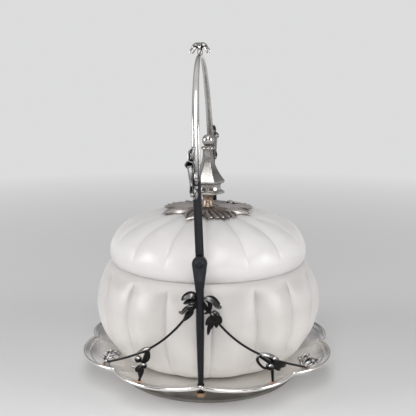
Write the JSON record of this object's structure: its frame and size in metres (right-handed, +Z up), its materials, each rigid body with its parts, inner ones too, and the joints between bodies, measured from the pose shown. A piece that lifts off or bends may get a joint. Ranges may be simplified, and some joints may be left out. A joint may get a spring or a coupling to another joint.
{
  "type": "pickle castor",
  "caption": "Silver-plated table castor: lobed footed tray with leafy uprights and a swing bail, holding a ribbed satin-glass bowl with a lift-off domed lid and six-sided finial.",
  "frame": {"origin": "centre of the foot on the table", "axes": "+Z up, -Y towards the front upright, +X to the right as seen from the front"},
  "size_m": [0.1694, 0.1728, 0.2246],
  "materials": {
    "silver_plate": "polished silver plate with light tarnish",
    "cast_silver": "cast and plated, dark in the recesses",
    "fasteners": "worn plate over brass",
    "satin_glass": "acid-etched satin, opaque white",
    "cork": "cut cork sheet"
  },
  "bodies": {
    "frame": {"tray": "silver_plate", "foot_ring": "silver_plate", "upright_front": "silver_plate", "upright_rear": "silver_plate", "upright_nuts": "fasteners", "pivot_rivet_front": "fasteners", "pivot_rivet_rear": "fasteners", "pivot_washers": "fasteners", "branch_front_left": "silver_plate", "branch_front_right": "silver_plate", "branch_rear_left": "silver_plate", "branch_rear_right": "silver_plate", "blossom_front_left": "cast_silver", "blossom_front_right": "cast_silver", "blossom_rear_left": "cast_silver", "blossom_rear_right": "cast_silver", "leaf_prop_front_left": "cast_silver", "leaf_prop_front_right": "cast_silver", "leaf_prop_rear_left": "cast_silver", "leaf_prop_rear_right": "cast_silver", "rim_spray_front_left": "cast_silver", "rim_spray_front_right": "cast_silver", "rim_spray_rear_left": "cast_silver", "rim_spray_rear_right": "cast_silver"},
    "bail": {"bail": "silver_plate", "crest_flower": "cast_silver", "bail_spray_front": "cast_silver", "bail_spray_rear": "cast_silver"},
    "bowl": {"bowl": "satin_glass"},
    "lid": {"lid": "satin_glass", "rosette_gasket": "cork", "leaf_rosette": "cast_silver", "finial_stem": "silver_plate", "finial_collar": "silver_plate", "finial_bell": "silver_plate", "finial_knop": "silver_plate", "finial_stud": "fasteners", "lid_gasket": "cork", "lid_washer": "fasteners", "finial_nut": "fasteners"}
  },
  "joints": [
    {"name": "bail_swing", "type": "hinge", "parent": "frame", "child": "bail", "pos_m": [0, 0, 0.098], "axis": [0, 1, 0], "range_deg": [-122.5, 127.5]},
    {"name": "bowl_lift", "type": "slide", "parent": "frame", "child": "bowl", "axis": [0, 0, 1], "range_m": [0, 0.04]},
    {"name": "lid_lift", "type": "slide", "parent": "bowl", "child": "lid", "axis": [0, 0, 1], "range_m": [0, 0.04]}
  ]
}
